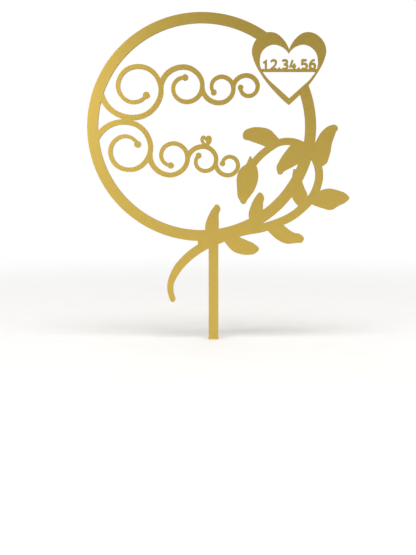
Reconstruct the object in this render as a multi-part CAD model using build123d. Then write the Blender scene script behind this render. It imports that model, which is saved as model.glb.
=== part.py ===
from build123d import *
from math import cos, pi, sin, sqrt
import os

# Flat acrylic cake topper: a ring with a heart, two scrolls, a leaf branch and a stake.
# The sheet stands in the XZ plane and faces -Y, with its thickness centred on Y = 0.
# The origin is the middle of the stake's lower end. Every piece is a flat outline of lines and
# tangent arcs, as a cutting laser follows it. Where two outlines cross they are halved: one piece
# keeps the front half of the sheet there and the other keeps the back half, so both faces stay flush.

# Sheet
sheet_thickness = 3.0

# Ring
ring_outer_diameter = 120.0
ring_band_width = 5.6

# Stake, from the ring's lowest point down to the square end
stake_width = 5.1
stake_length = 51.5
stake_beside_ring_centre = 6.2
stake_lap_on_ring = 3.0

# Heart let into the ring, with its opening and the bar across it
heart_angle = 13.9
heart_tip_radius_share = 0.787
heart_width = 38.9
heart_height = 38.2
heart_side_wall = 4.1
heart_top_wall = 6.4
heart_tip_wall = 3.4
heart_lap_share = 0.6
date_bar_height = 1.4
date_bar_above_tip = 18.1

# Right half of a heart from its notch to its tip, in shares of the half width and the height
heart_outline_shares = (
    (0.0, 0.75), (0.16, 0.901), (0.39, 0.988), (0.94, 0.855), (1.0, 0.74), (0.94, 0.61), (0.73, 0.41),
    (0.30, 0.141), (0.0, 0.0),
)
opening_outline_shares = (
    (0.0, 0.832), (0.25, 0.964), (0.52, 1.0), (0.91, 0.873), (1.0, 0.70), (0.95, 0.53), (0.79, 0.402),
    (0.31, 0.153), (0.0, 0.0),
)

# Small heart on the lower scroll, with a slanting pointed slit beside its middle
small_heart_width = 6.1
small_heart_height = 6.0
small_heart_slit_length = 2.7
small_heart_slit_width = 0.75
small_heart_slit_angle = -57.0
small_heart_slit_shares = (-0.2, 0.5)
small_heart_outline_shares = (
    (0.0, 0.85), (0.42, 1.0), (0.88, 0.88), (0.98, 0.63), (0.54, 0.17), (0.0, 0.0),
)

# Running scrolls: each bay is one spiral, and the next bay starts where it has made half a turn.
# A scroll starts on the ring and fills its run up to an end inside the ring.
upper_start_angle = 159.0
upper_end_angle = 34.9
upper_end_radius_share = 0.597
lower_start_angle = 190.0
lower_end_angle = -47.1
lower_end_radius_share = 0.467
scroll_root_width = 3.0
scroll_tip_width = 1.9
scroll_ball_diameter = 3.6
scroll_half_turn_share = 0.70
scroll_radius_shares = (1.0, 0.68, 0.51, 0.40)
scroll_width_shares = (1.0, 0.93, 0.87, 0.81)
scroll_turns = (1.4, 1.25, 1.1, 1.0)
scroll_points_per_turn = 6
small_heart_bay = 2

# Branch stem from its loose tail onwards: angle on the ring, share of its outer radius, share of the width
stem_width = 4.2
heel_length = 5.7
heel_drop = 2.9
stem_route_shares = (
    (-99.5, 1.530, 0.66), (-101.1, 1.420, 0.77), (-100.2, 1.292, 0.99), (-96.1, 1.152, 1.08),
    (-89.2, 1.048, 1.08), (-79.4, 0.991, 1.05), (-70.6, 0.983, 1.02), (-57.4, 1.042, 1.0),
    (-41.8, 1.124, 1.0), (-28.8, 1.143, 0.95), (-22.0, 1.109, 0.92), (-12.2, 0.950, 0.95),
    (-9.7, 0.835, 0.92), (-10.2, 0.738, 0.90), (-21.6, 0.595, 0.90), (-41.4, 0.562, 0.90),
)

# Leaves along the stem
leaf_lengths = {
    "leaf_01": 16.4,
    "leaf_02": 15.2,
    "leaf_03": 15.3,
    "leaf_04": 16.5,
    "leaf_05": 18.4,
    "leaf_06": 18.2,
    "leaf_07": 19.6,
    "leaf_08": 15.7,
    "leaf_09": 16.3,
    "leaf_10": 22.0,
}

# Base of each leaf: angle on the ring, share of its outer radius
leaf_base_shares = {
    "leaf_01": (-84.6, 0.956),
    "leaf_02": (-74.9, 1.013),
    "leaf_03": (-60.0, 0.958),
    "leaf_04": (-53.8, 1.083),
    "leaf_05": (-37.1, 1.109),
    "leaf_06": (-32.2, 1.164),
    "leaf_07": (-15.0, 1.033),
    "leaf_08": (-14.6, 0.887),
    "leaf_09": (-12.8, 0.634),
    "leaf_10": (-36.0, 0.543),
}

# Direction from base to tip, in degrees from +X towards up
leaf_angles = {
    "leaf_01": 81,
    "leaf_02": -21,
    "leaf_03": 83,
    "leaf_04": -23,
    "leaf_05": 104,
    "leaf_06": -2,
    "leaf_07": 56,
    "leaf_08": -131,
    "leaf_09": 166,
    "leaf_10": -102,
}

# Outline round the tip, in shares of the length along that direction and to the left of it
leaf_outline_shares = {
    "leaf_01": ((0.0, 0.19), (0.23, 0.26), (0.60, 0.21), (0.86, 0.11), (1.0, 0.0), (0.90, -0.13),
                (0.71, -0.11), (0.46, -0.15), (0.08, -0.20)),
    "leaf_02": ((-0.33, -0.09), (-0.08, -0.27), (0.17, -0.39), (0.45, -0.40), (0.72, -0.33), (0.95, -0.17),
                (1.0, 0.0), (0.83, 0.09), (0.51, 0.12), (0.23, 0.14), (0.07, 0.21)),
    "leaf_03": ((-0.04, 0.22), (0.19, 0.29), (0.54, 0.24), (0.85, 0.12), (1.0, 0.0), (0.87, -0.15),
                (0.64, -0.15), (0.39, -0.18), (0.15, -0.24)),
    "leaf_04": ((-0.24, -0.17), (-0.05, -0.26), (0.27, -0.36), (0.53, -0.36), (0.82, -0.22), (0.99, -0.11),
                (1.0, 0.0), (0.84, 0.09), (0.67, 0.06), (0.37, 0.11), (0.12, 0.21)),
    "leaf_05": ((-0.07, 0.13), (0.13, 0.23), (0.41, 0.24), (0.71, 0.13), (0.91, 0.06), (1.0, 0.0),
                (0.94, -0.06), (0.76, -0.10), (0.46, -0.14), (0.15, -0.17), (0.03, -0.12)),
    "leaf_06": ((0.08, 0.16), (0.21, 0.22), (0.38, 0.27), (0.67, 0.23), (0.90, 0.14), (1.0, 0.01),
                (0.92, -0.09), (0.70, -0.22), (0.49, -0.34), (0.23, -0.30), (-0.02, -0.22), (-0.15, -0.17)),
    "leaf_07": ((0.09, 0.19), (0.39, 0.23), (0.69, 0.24), (0.91, 0.16), (1.0, 0.06), (0.99, -0.03),
                (0.81, -0.08), (0.55, -0.15), (0.26, -0.27), (-0.01, -0.32), (-0.17, -0.23)),
    "leaf_08": ((-0.26, -0.14), (-0.01, -0.36), (0.31, -0.37), (0.63, -0.33), (0.93, -0.21), (1.0, 0.0),
                (0.83, 0.03), (0.62, 0.11), (0.35, 0.21), (-0.07, 0.33)),
    "leaf_09": ((-0.26, -0.10), (-0.05, -0.25), (0.18, -0.38), (0.51, -0.38), (0.81, -0.28), (0.98, -0.10),
                (0.95, 0.07), (0.68, 0.12), (0.38, 0.15), (0.10, 0.19)),
    "leaf_10": ((-0.03, 0.04), (-0.10, -0.02), (-0.15, -0.06), (-0.06, -0.10), (0.03, -0.12), (0.17, -0.23),
                (0.38, -0.28), (0.63, -0.23), (0.91, -0.12), (1.0, 0.0), (0.85, 0.09), (0.58, 0.20),
                (0.32, 0.22), (0.06, 0.13)),
}

# Worked out from the sizes above
ring_outer_radius = ring_outer_diameter / 2
ring_inner_diameter = ring_outer_diameter - ring_band_width * 2
ring_middle_radius = ring_outer_radius - ring_band_width / 2
ring_centre = Vector(-stake_beside_ring_centre, stake_length + ring_outer_radius)
ply_thickness = sheet_thickness / 2
opening_width = heart_width - heart_side_wall * 2
opening_height = heart_height - heart_top_wall - heart_tip_wall

# An arc that leaves its chord by less than this sine is drawn as a line
straight_sine = 0.001


def direction(angle):
    """Unit vector at an angle in degrees, counted from +X towards up."""
    turn = angle * pi / 180
    return Vector(cos(turn), sin(turn))


def leftward(along):
    return Vector(-along.Y, along.X)


def ring_point(angle, radius):
    """Point at an angle and radius about the ring's centre."""
    return ring_centre + direction(angle) * radius


def tangents(points):
    """Direction at each point, that of the circle through it and its two neighbours."""
    found = []
    for before, here, after in zip(points, points[1:], points[2:]):
        arriving = here - before
        leaving = after - here
        found.append((arriving * leaving.dot(leaving) + leaving * arriving.dot(arriving)).normalized())
    first_chord = (points[1] - points[0]).normalized()
    last_chord = (points[-1] - points[-2]).normalized()
    first = first_chord * (first_chord.dot(found[0]) * 2) - found[0]
    last = last_chord * (last_chord.dot(found[-1]) * 2) - found[-1]
    return [first] + found + [last]


def arc(start, end, leaving):
    """Arc that leaves start in a given direction, or a line where it is as good as straight."""
    chord = (end - start).normalized()
    if abs(leftward(chord).dot(leaving)) < straight_sine:
        return Line(start, end)
    return TangentArc(start, end, tangent=leaving)


def smooth(points):
    """Tangent arcs through the points, two to each span."""
    edges = []
    headings = tangents(points)
    for place in range(len(points) - 1):
        start, end = points[place], points[place + 1]
        leaving, arriving = headings[place], headings[place + 1]
        chord = end - start
        forward = chord.dot(leaving + arriving)
        spread = 2 - 2 * leaving.dot(arriving)
        reach = chord.dot(chord) / (forward + sqrt(forward ** 2 + spread * chord.dot(chord)))
        near = start + leaving * reach
        far = end - arriving * reach
        joint = (near + far) * 0.5
        edges += [arc(start, joint, leaving), arc(joint, end, (far - near).normalized())]
    return edges


def band(points, widths):
    """Band through the points, with its own width at each of them."""
    left = []
    right = []
    for point, along, width in zip(points, tangents(points), widths):
        across = leftward(along) * (width / 2)
        left.append(point + across)
        right.append(point - across)
    right.reverse()
    return make_face(smooth(left) + [Line(left[-1], right[0])] + smooth(right) + [Line(right[-1], left[0])])


def disc(centre, diameter):
    return Pos(centre.X, centre.Y) * Circle(diameter / 2)


def heart(tip, width, height, outline_shares):
    """Heart with its point at tip, both halves alike."""
    edges = []
    for side in (1, -1):
        half_width = side * width / 2
        edges += smooth([tip + Vector(half_width * across, height * up) for across, up in outline_shares])
    return make_face(edges)


def slit_heart(tip):
    """Small heart with its point at tip, and the slit through it between two arcs."""
    whole = heart(tip, small_heart_width, small_heart_height, small_heart_outline_shares)
    across = tip.X + small_heart_width / 2 * small_heart_slit_shares[0]
    up = tip.Y + small_heart_height * small_heart_slit_shares[1]
    middle = Vector(across, up)
    radius = (small_heart_slit_length ** 2 + small_heart_slit_width ** 2) / (small_heart_slit_width * 4)
    beside = leftward(direction(small_heart_slit_angle)) * (radius - small_heart_slit_width / 2)
    return whole - (disc(middle + beside, radius * 2) & disc(middle - beside, radius * 2))


def heart_between(share):
    """Heart whose outline lies between the frame's outside (0) and its opening (1)."""
    width = heart_width + (opening_width - heart_width) * share
    height = heart_height + (opening_height - heart_height) * share
    outline_shares = []
    for outer, inner in zip(heart_outline_shares, opening_outline_shares):
        across = outer[0] + (inner[0] - outer[0]) * share
        up = outer[1] + (inner[1] - outer[1]) * share
        outline_shares.append((across, up))
    return heart(heart_tip + Vector(0, heart_tip_wall * share), width, height, outline_shares)


def scroll(start, end, first_side):
    """Running scroll from start to end, and the crown of the bay that carries the small heart."""
    run = end - start
    forward = run.normalized()
    across = leftward(forward)
    first_radius = run.length / (sum(scroll_radius_shares) * (1 + scroll_half_turn_share))
    side = first_side
    strokes = []
    crown = start
    for bay, turns in enumerate(scroll_turns):
        radius = first_radius * scroll_radius_shares[bay]
        root_width = scroll_root_width * scroll_width_shares[bay]
        centre = start + forward * radius
        steps = round(turns * scroll_points_per_turn)
        points = []
        widths = []
        for step in range(steps + 1):
            turned = turns * step / steps
            reach = radius * scroll_half_turn_share ** (2 * turned)
            swing = direction(180 - side * 360 * turned)
            points.append(centre + (forward * swing.X + across * swing.Y) * reach)
            widths.append(root_width + (scroll_tip_width - root_width) * step / steps)
        ball = disc(points[-1], scroll_ball_diameter * scroll_width_shares[bay])
        strokes += [band(points, widths), ball]
        if bay == small_heart_bay:
            crown = centre + across * (side * radius * sqrt(scroll_half_turn_share))
        start = centre + forward * (radius * scroll_half_turn_share)
        side = -side
    return Sketch() + strokes, crown


def stem():
    """Hooked stem with a round tail, and the heel that fills the corner between it and the ring."""
    points = [ring_point(angle, ring_outer_radius * share) for angle, share, _ in stem_route_shares]
    widths = [stem_width * share for _, _, share in stem_route_shares]
    heel_corner = Pos(-stake_width / 2, stake_length - heel_drop)
    heel_height = heel_drop + ring_band_width / 2
    heel = heel_corner * Rectangle(heel_length, heel_height, align=(Align.MAX, Align.MIN))
    return Sketch() + [band(points, widths), disc(points[0], widths[0]), heel]


def leaf(name):
    """Leaf outline as one smooth curve round the tip, closed across its base."""
    angle, share = leaf_base_shares[name]
    base = ring_point(angle, ring_outer_radius * share)
    along = direction(leaf_angles[name]) * leaf_lengths[name]
    points = [base + along * near + leftward(along) * beside for near, beside in leaf_outline_shares[name]]
    return make_face(smooth(points) + [Line(points[-1], points[0])])


# Outlines, in order from the piece that is whole in front to the piece that is whole behind
heart_tip = ring_point(heart_angle, ring_outer_radius * heart_tip_radius_share)
bar_middle = heart_tip + Vector(0, date_bar_above_tip)
bar_strip = Pos(bar_middle.X, bar_middle.Y) * Rectangle(heart_width, date_bar_height)
whole_ring = disc(ring_centre, ring_outer_diameter) - disc(ring_centre, ring_inner_diameter)
upper_start = ring_point(upper_start_angle, ring_middle_radius)
upper_end = ring_point(upper_end_angle, ring_outer_radius * upper_end_radius_share)
upper_flourish, _ = scroll(upper_start, upper_end, -1)
lower_start = ring_point(lower_start_angle, ring_middle_radius)
lower_end = ring_point(lower_end_angle, ring_outer_radius * lower_end_radius_share)
lower_flourish, lower_crown = scroll(lower_start, lower_end, 1)

outlines = {
    "heart_frame": heart_between(0) - heart_between(1),
    "date_bar": bar_strip & heart_between(heart_lap_share),
    "ring": whole_ring - heart_between(heart_lap_share),
    "small_heart": slit_heart(lower_crown),
}
for leaf_name in leaf_lengths:
    outlines[leaf_name] = leaf(leaf_name)
outlines["upper_flourish"] = upper_flourish
outlines["lower_flourish"] = lower_flourish
outlines["vine_stem"] = stem()
outlines["stake"] = Rectangle(
    stake_width, stake_length + stake_lap_on_ring, align=(Align.CENTER, Align.MIN))

# Halve the outlines where they cross, and give each piece its two plies
os.makedirs("parts", exist_ok=True)
names = list(outlines)
for place, name in enumerate(names):
    front = outlines[name]
    back = outlines[name]
    for other in names[:place]:
        front = front - outlines[other]
    for other in names[place + 1:]:
        back = back - outlines[other]
    front_ply = extrude(Plane.XZ * front, amount=ply_thickness)
    back_ply = extrude(Plane.XZ * back, amount=-ply_thickness)
    export_step(front_ply + back_ply, f"parts/{name}.step")
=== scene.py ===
from math import radians

import bmesh
import bpy
from mathutils import Matrix, Vector
from mathutils.geometry import interpolate_bezier


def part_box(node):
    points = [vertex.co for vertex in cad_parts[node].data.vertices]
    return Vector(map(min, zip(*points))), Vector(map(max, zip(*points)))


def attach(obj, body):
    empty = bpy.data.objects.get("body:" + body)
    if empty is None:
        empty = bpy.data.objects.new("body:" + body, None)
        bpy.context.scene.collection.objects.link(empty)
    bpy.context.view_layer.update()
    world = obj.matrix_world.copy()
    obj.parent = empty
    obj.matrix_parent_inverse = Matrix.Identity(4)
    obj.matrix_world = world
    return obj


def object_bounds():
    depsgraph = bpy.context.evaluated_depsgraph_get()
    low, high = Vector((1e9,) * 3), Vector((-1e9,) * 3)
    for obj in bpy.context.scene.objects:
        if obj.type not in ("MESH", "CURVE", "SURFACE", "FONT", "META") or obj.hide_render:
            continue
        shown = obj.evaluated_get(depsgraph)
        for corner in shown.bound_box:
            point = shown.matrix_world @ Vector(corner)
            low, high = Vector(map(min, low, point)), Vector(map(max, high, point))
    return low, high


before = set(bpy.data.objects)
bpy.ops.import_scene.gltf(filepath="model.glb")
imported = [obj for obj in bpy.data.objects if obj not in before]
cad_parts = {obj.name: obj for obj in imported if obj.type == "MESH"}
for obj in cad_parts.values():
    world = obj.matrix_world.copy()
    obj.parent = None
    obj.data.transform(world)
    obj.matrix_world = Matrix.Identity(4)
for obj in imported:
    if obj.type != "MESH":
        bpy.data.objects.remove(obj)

for spare in ("Cube", "Light", "Camera"):  # what a new file starts with
    if spare in bpy.data.objects:
        bpy.data.objects.remove(bpy.data.objects[spare])

scene = bpy.context.scene
scene.view_settings.view_transform = "Standard"
cadLow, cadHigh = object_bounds()
print("frame loaded:", len(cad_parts), "pieces,", cadHigh - cadLow)

millimetre = 0.001
noiseMiddle = 0.5   # a noise swings about this value
plainWhite = (1, 1, 1, 1)


class Wire:
    # one shader socket: sums of wires and numbers add their own Math nodes
    def __init__(self, tree, socket):
        self.tree = tree
        self.socket = socket

    @classmethod
    def add(cls, tree, kind, settings=None, links=None, output=0):
        # settings first, then the values or wires of the sockets
        node = tree.nodes.new(kind)
        for name, value in (settings or {}).items():
            setattr(node, name, value)
        for name, value in (links or {}).items():
            if isinstance(value, Wire):
                tree.links.new(value.socket, node.inputs[name])
            else:
                node.inputs[name].default_value = value
        return cls(tree, node.outputs[output]) if node.outputs else None

    def combine(self, operation, first, second):
        settings = {"operation": operation}
        return Wire.add(self.tree, "ShaderNodeMath", settings, {0: first, 1: second})

    def __add__(self, other):
        return self.combine("ADD", self, other)

    __radd__ = __add__

    def __sub__(self, other):
        return self.combine("SUBTRACT", self, other)

    def __rsub__(self, other):
        return self.combine("SUBTRACT", other, self)

    def __mul__(self, other):
        return self.combine("MULTIPLY", self, other)

    __rmul__ = __mul__

    def __lt__(self, other):
        return self.combine("LESS_THAN", self, other)

    def __gt__(self, other):
        return self.combine("GREATER_THAN", self, other)


def paint(red, green, blue):
    # screen values of 0 to 255 as the linear colour that a shader takes
    shades = []
    for value in (red, green, blue):
        share = value / 255
        shades.append(share / 12.92 if share <= 0.04045 else ((share + 0.055) / 1.055) ** 2.4)
    return (*shades, 1.0)


def blendColors(tree, share, first, second):
    settings = {"data_type": "RGBA", "clamp_factor": True}
    sockets = {0: share, 6: first, 7: second}   # 6 and 7 are its two colours
    return Wire.add(tree, "ShaderNodeMix", settings, sockets, output=2)


def noise(tree, place, scale, detail):
    return Wire.add(tree, "ShaderNodeTexNoise", {"noise_dimensions": "3D"},
                    {"Vector": place, "Scale": scale, "Detail": detail})


def stretchedNoise(tree, place, factors, detail):
    # finer along some axes than along others
    spot = Wire.add(tree, "ShaderNodeVectorMath", {"operation": "MULTIPLY"}, {0: place, 1: factors})
    return noise(tree, spot, 1.0, detail)


def easeBetween(tree, value, low, high):
    return Wire.add(tree, "ShaderNodeMapRange", {"interpolation_type": "SMOOTHSTEP"},
                    {"Value": value, "From Min": low, "From Max": high})


def seenDirectly(tree):
    # camera, mirror and glass rays see the white background
    camera = Wire.add(tree, "ShaderNodeLightPath", output="Is Camera Ray")
    glossy = Wire.add(tree, "ShaderNodeLightPath", output="Is Glossy Ray")
    through = Wire.add(tree, "ShaderNodeLightPath", output="Is Transmission Ray")
    return Wire.add(tree, "ShaderNodeMath", {"operation": "ADD", "use_clamp": True},
                    {0: camera + glossy, 1: through})


def newTree(block):
    block.use_nodes = True
    block.node_tree.nodes.clear()
    return block.node_tree


# Gold acrylic: satin foil on the front, a plainer back and laser-cut edges
goldSheet = {
    "faceLight": paint(221, 190, 94),
    "faceDeep": paint(212, 181, 89),
    "backTone": paint(203, 173, 86),
    "edgeLight": paint(152, 117, 46),
    "edgeDeep": paint(104, 76, 26),
    "glint": paint(255, 232, 170),             # tint of what the sheet mirrors at a low angle
    "faceLean": 0.5,                           # a normal that leans further along Y is a face's
    "driftScale": 22.0,                        # per metre: slow change of tone over the foil
    "driftDetail": 1.0,
    "brushStretch": (320.0, 2400.0, 2400.0),   # fine satin lines that run across the sheet
    "brushDetail": 2.0,
    "brushShare": 0.7,                         # how much of the tone they take
    "waveScale": 240.0,                        # the sheet's slight orange peel
    "waveDetail": 1.0,
    "waveDepth": 0.0000016,                    # metres
    "cutStretch": (2600.0, 130.0, 2600.0),     # fine lines across the thickness of the cut
    "cutDetail": 3.0,
    "cutContrast": 1.6,
    "cutDepth": 0.000012,                      # metres
    "faceRoughness": 0.36,
    "backRoughness": 0.46,
    "edgeRoughness": 0.34,
    "brushSpread": 0.05,                       # change of roughness along the satin lines
    "cutSpread": 0.10,                         # the same along the lines of the cut
    "edgeMetal": 0.65,
    "ior": 1.49,
}


def makeGold(look):
    material = bpy.data.materials.new("goldAcrylic")
    tree = newTree(material)
    place = Wire.add(tree, "ShaderNodeTexCoord", output="Object")
    facing = Wire.add(tree, "ShaderNodeTexCoord", output="Normal")
    toBack = Wire.add(tree, "ShaderNodeSeparateXYZ", {}, {0: facing}, output="Y")
    front = toBack < -look["faceLean"]
    back = toBack > look["faceLean"]
    edge = 1 - front - back

    drift = noise(tree, place, look["driftScale"], look["driftDetail"])
    wave = noise(tree, place, look["waveScale"], look["waveDetail"])
    brush = stretchedNoise(tree, place, look["brushStretch"], look["brushDetail"]) - noiseMiddle
    cut = stretchedNoise(tree, place, look["cutStretch"], look["cutDetail"]) - noiseMiddle

    faceTone = drift + brush * look["brushShare"]
    cutTone = cut * look["cutContrast"] + noiseMiddle
    face = blendColors(tree, faceTone, look["faceDeep"], look["faceLight"])
    sheet = blendColors(tree, back, face, look["backTone"])
    kerf = blendColors(tree, cutTone, look["edgeDeep"], look["edgeLight"])
    color = blendColors(tree, edge, sheet, kerf)

    roughness = (front * look["faceRoughness"] + back * look["backRoughness"]
                 + edge * look["edgeRoughness"]
                 + brush * look["brushSpread"] + edge * cut * look["cutSpread"])

    height = (1 - edge) * wave * look["waveDepth"] + edge * cut * look["cutDepth"]
    normal = Wire.add(tree, "ShaderNodeBump", {},
                      {"Height": height, "Strength": 1.0, "Distance": 1.0})

    shader = Wire.add(tree, "ShaderNodeBsdfPrincipled", {}, {
        "Base Color": color,
        "Metallic": 1 - edge * (1 - look["edgeMetal"]),
        "Roughness": roughness,
        "Normal": normal,
        "IOR": look["ior"],
        "Specular Tint": look["glint"],
    })
    Wire.add(tree, "ShaderNodeOutputMaterial", {}, {"Surface": shader})
    return material


gold = makeGold(goldSheet)
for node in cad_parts.values():
    node.data.materials.clear()
    node.data.materials.append(gold)
print("gold on every cut piece")


# Plain figures that stand on the bar in the heart, cut with one even stroke, in millimetres
dateFigures = {
    "body": "12.34.56",
    "figureWidth": 3.79,    # outside the strokes
    "gap": 0.52,
    "stroke": 1.05,
    "rise": 5.2,            # above the bar's upper edge
    "sink": 0.4,            # into the bar, so that round figures are joined to it
    "inset": 0.02,          # keeps their faces just behind the bar's
    "bendSteps": 4,
    # Middle lines of the strokes in shares of the figure. A point given twice is a corner,
    # and upright strokes end below 0, inside the bar
    "strokes": {
        "1": [[(0.12, 0.70), (0.58, 0.89), (0.58, 0.89), (0.58, -0.12)]],
        "2": [[(0.02, 0.82), (0.20, 0.96), (0.48, 1.0), (0.82, 0.92), (0.94, 0.73), (0.80, 0.47),
               (0.42, 0.20), (0.04, 0.0), (-0.26, -0.16)],
              [(0.10, 0.0), (1.02, 0.0)]],
        "3": [[(0.04, 0.90), (0.26, 0.98), (0.50, 1.0), (0.82, 0.93), (0.92, 0.77), (0.80, 0.60),
               (0.52, 0.54), (0.30, 0.53)],
              [(0.30, 0.53), (0.54, 0.52), (0.86, 0.44), (0.99, 0.27), (0.83, 0.07), (0.44, 0.0),
               (0.20, 0.01), (0.0, 0.06)]],
        "4": [[(0.40, 1.0), (0.0, 0.29), (0.0, 0.29), (1.04, 0.29)],
              [(0.72, 0.60), (0.72, -0.12)]],
        "5": [[(0.92, 1.0), (0.14, 1.0), (0.14, 1.0), (0.09, 0.47)],
              [(-0.09, 0.545), (0.12, 0.555), (0.44, 0.60), (0.84, 0.52), (0.99, 0.30),
               (0.84, 0.07), (0.44, 0.0), (0.20, 0.01), (0.0, 0.06)]],
        "6": [[(0.90, 0.97), (0.64, 0.99), (0.30, 0.88), (0.07, 0.60), (0.02, 0.32), (0.15, 0.08),
               (0.50, 0.0), (0.86, 0.09), (0.98, 0.30), (0.85, 0.52), (0.52, 0.60), (0.20, 0.52),
               (0.05, 0.38)]],
        ".": [[(0.0, -0.12), (0.0, 0.14)]],
    },
}


def middleLine(knots, steps):
    # smooth between corners
    line = []
    start = 0
    for index in range(1, len(knots) + 1):
        if index < len(knots) and knots[index] != knots[index - 1]:
            continue
        run = [Vector(knot) for knot in knots[start:index]]
        start = index
        leads = [(run[min(i + 1, len(run) - 1)] - run[max(i - 1, 0)]) / 2 for i in range(len(run))]
        for i in range(len(run) - 1):
            handles = (run[i], run[i] + leads[i] / 3, run[i + 1] - leads[i + 1] / 3, run[i + 1])
            count = steps + 1 if len(run) > 2 else 2   # a run of two points is straight
            bend = interpolate_bezier(*handles, count)
            line.extend(bend if not line else bend[1:])
    return line


def addStroke(shape, line, half, front, back):
    # a flat strip round the middle line, with mitred corners and square ends
    rings = []
    for i, point in enumerate(line):
        before = (point - line[i - 1]).normalized() if i else None
        after = (line[i + 1] - point).normalized() if i + 1 < len(line) else None
        before = before or after
        after = after or before
        side = Vector((-before.y - after.y, before.x + after.x)).normalized()
        reach = side * (half / side.dot(Vector((-after.y, after.x))))
        left, right = point + reach, point - reach
        corners = ((left, front), (right, front), (right, back), (left, back))
        rings.append([shape.verts.new((spot.x, depth, spot.y)) for spot, depth in corners])
    for first, second in zip(rings, rings[1:]):
        for i in range(4):
            shape.faces.new((first[i], first[(i + 1) % 4], second[(i + 1) % 4], second[i]))
    shape.faces.new(rings[0])
    shape.faces.new(reversed(rings[-1]))


def looseMesh(name, lines, half, front, back):
    shape = bmesh.new()
    for line in lines:
        addStroke(shape, line, half, front, back)
    bmesh.ops.recalc_face_normals(shape, faces=shape.faces)
    mesh = bpy.data.meshes.new(name)
    shape.to_mesh(mesh)
    shape.free()
    piece = bpy.data.objects.new(name, mesh)
    scene.collection.objects.link(piece)
    return piece


def makeFigures(look):
    barLow, barHigh = [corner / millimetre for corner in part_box("date_bar")]
    half = look["stroke"] / 2
    front = barLow.y + look["inset"]
    back = barHigh.y - look["inset"]
    floorLine = barHigh.z - look["sink"] + half
    tall = look["rise"] + look["sink"] - look["stroke"]
    widths = [look["stroke"] if letter == "." else look["figureWidth"] for letter in look["body"]]
    across = (barLow.x + barHigh.x - sum(widths) - look["gap"] * (len(widths) - 1)) / 2

    lines = []
    for letter, width in zip(look["body"], widths):
        wide = width - look["stroke"]
        for knots in look["strokes"][letter]:
            lines.append([Vector((across + half + spot.x * wide, floorLine + spot.y * tall))
                          for spot in middleLine(knots, look["bendSteps"])])
        across += width + look["gap"]
    draft = looseMesh("figuresDraft", lines[:-1], half, front, back)
    lastStrip = looseMesh("lastStrip", lines[-1:], half, front, back)

    # one clean solid out of the crossing strokes
    join = draft.modifiers.new("join", "BOOLEAN")
    join.operation = "UNION"
    join.solver = "EXACT"
    join.use_self = True
    join.object = lastStrip
    graph = bpy.context.evaluated_depsgraph_get()
    mesh = bpy.data.meshes.new_from_object(draft.evaluated_get(graph))
    bpy.data.objects.remove(draft)
    bpy.data.objects.remove(lastStrip)
    mesh.transform(Matrix.Scale(millimetre, 4))

    piece = bpy.data.objects.new("date_figures", mesh)
    scene.collection.objects.link(piece)
    mesh.materials.clear()
    mesh.materials.append(gold)
    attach(piece, "root")
    return piece


figures = makeFigures(dateFigures)
print("figures on the bar:", len(figures.data.polygons), "faces")


# Camera, straight on to the sheet
shot = {
    "imageWide": 416,
    "imageHigh": 555,
    "stakeEndPixel": (213.5, 339.4),   # where the middle of the stake's end lies in the picture
    "pixelSize": 0.0005236,            # metres on the front face
    "distance": 0.50,
    "lensHeight": 0.085,
    "sensor": 36.0,
    "tilt": 90.0,                      # degrees up from straight down
}


def makeCamera(look):
    frameHigh = look["imageHigh"] * look["pixelSize"]
    acrossPixels = look["imageWide"] / 2 - look["stakeEndPixel"][0]
    upPixels = look["stakeEndPixel"][1] - look["imageHigh"] / 2
    lens = bpy.data.cameras.new("camera")
    lens.sensor_width = look["sensor"]
    lens.lens = look["sensor"] * look["distance"] / frameHigh
    lens.shift_y = (upPixels * look["pixelSize"] - look["lensHeight"]) / frameHigh
    camera = bpy.data.objects.new("camera", lens)
    aside = acrossPixels * look["pixelSize"]
    camera.location = (aside, cadLow.y - look["distance"], look["lensHeight"])
    camera.rotation_euler = (radians(look["tilt"]), 0, 0)
    scene.collection.objects.link(camera)
    scene.camera = camera
    print("camera lens", round(lens.lens, 1), "shift", round(lens.shift_y, 3))


makeCamera(shot)


# Pale floor that fades to white away from the object
floorLook = {
    "radius": 6.0,
    "sides": 96,
    "paleLight": paint(246, 245, 243),
    "paleDeep": paint(241, 240, 238),
    "toneScale": 60.0,
    "toneDetail": 2.0,
    "roughness": 0.7,
    "fadeFrom": 0.10,
    "fadeTo": 0.55,
}


def makeFloor(look):
    mesh = bpy.data.meshes.new("floor")
    shape = bmesh.new()
    bmesh.ops.create_circle(shape, cap_ends=True, segments=look["sides"], radius=look["radius"])
    shape.to_mesh(mesh)
    shape.free()
    floor = bpy.data.objects.new("floor", mesh)
    floor.location = (0, 0, cadLow.z)
    scene.collection.objects.link(floor)

    material = bpy.data.materials.new("paleFloor")
    tree = newTree(material)
    place = Wire.add(tree, "ShaderNodeTexCoord", output="Object")
    away = Wire.add(tree, "ShaderNodeVectorMath", {"operation": "LENGTH"}, {0: place},
                    output="Value")
    fade = easeBetween(tree, away, look["fadeFrom"], look["fadeTo"])
    mottle = noise(tree, place, look["toneScale"], look["toneDetail"])
    tone = blendColors(tree, mottle, look["paleDeep"], look["paleLight"])
    matte = Wire.add(tree, "ShaderNodeBsdfPrincipled", {},
                     {"Base Color": tone, "Roughness": look["roughness"]})
    white = Wire.add(tree, "ShaderNodeEmission", {}, {"Color": plainWhite, "Strength": 1.0})
    mixed = Wire.add(tree, "ShaderNodeMixShader", {},
                     {0: fade * seenDirectly(tree), 1: matte, 2: white})
    Wire.add(tree, "ShaderNodeOutputMaterial", {}, {"Surface": mixed})
    mesh.materials.append(material)
    print("floor white from", look["fadeTo"], "m out")


makeFloor(floorLook)


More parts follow.
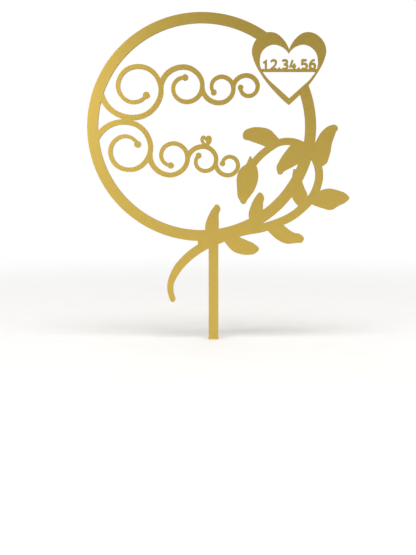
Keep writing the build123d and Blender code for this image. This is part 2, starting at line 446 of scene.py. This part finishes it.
# White studio round the object, a good deal greyer on the camera's side
studio = {
    "white": 1.0,         # what the camera sees
    "ambient": 0.66,      # what lights the matt surfaces
    "roomGrey": 0.22,     # what the gold mirrors from the camera's side
    "greyUpTo": -0.5,     # along Y, in a direction of length 1: grey in front of this
    "whiteFrom": 0.2,     # and white behind this
    "lamps": {
        "softLeft": {"place": (-0.40, -0.80, 0.24), "aim": (-0.02, 0.0, 0.10),
                     "size": (0.45, 0.20), "power": 1.00},
        "lowRight": {"place": (0.50, -0.80, 0.06), "aim": (0.0, 0.0, 0.08),
                     "size": (0.60, 0.11), "power": 0.23},
        "topFill": {"place": (0.0, -0.30, 0.90), "aim": (0.0, -0.15, 0.0),
                    "size": (0.70, 0.40), "power": 4.7},
    },
}


def makeLamp(name, look):
    lamp = bpy.data.lights.new(name, "AREA")
    lamp.shape = "RECTANGLE"
    lamp.size, lamp.size_y = look["size"]
    lamp.energy = look["power"]
    holder = bpy.data.objects.new(name, lamp)
    holder.location = look["place"]
    aim = Vector(look["aim"]) - holder.location
    holder.rotation_euler = aim.to_track_quat("-Z", "Y").to_euler()
    scene.collection.objects.link(holder)


def makeStudio(look):
    world = bpy.data.worlds.new("studio")
    scene.world = world
    tree = newTree(world)
    heading = Wire.add(tree, "ShaderNodeTexCoord", output="Generated")
    backwards = Wire.add(tree, "ShaderNodeSeparateXYZ", {}, {0: heading}, output="Y")
    behind = easeBetween(tree, backwards, look["greyUpTo"], look["whiteFrom"])
    camera = Wire.add(tree, "ShaderNodeLightPath", output="Is Camera Ray")
    white, grey, soft = [
        Wire.add(tree, "ShaderNodeBackground", {}, {"Color": plainWhite, "Strength": look[level]})
        for level in ("white", "roomGrey", "ambient")]
    room = Wire.add(tree, "ShaderNodeMixShader", {},
                    {0: camera + (1 - camera) * behind, 1: grey, 2: white})
    mixed = Wire.add(tree, "ShaderNodeMixShader", {}, {0: seenDirectly(tree), 1: soft, 2: room})
    Wire.add(tree, "ShaderNodeOutputWorld", {}, {"Surface": mixed})
    for name, lamp in look["lamps"].items():
        makeLamp(name, lamp)


makeStudio(studio)
print("studio lit")
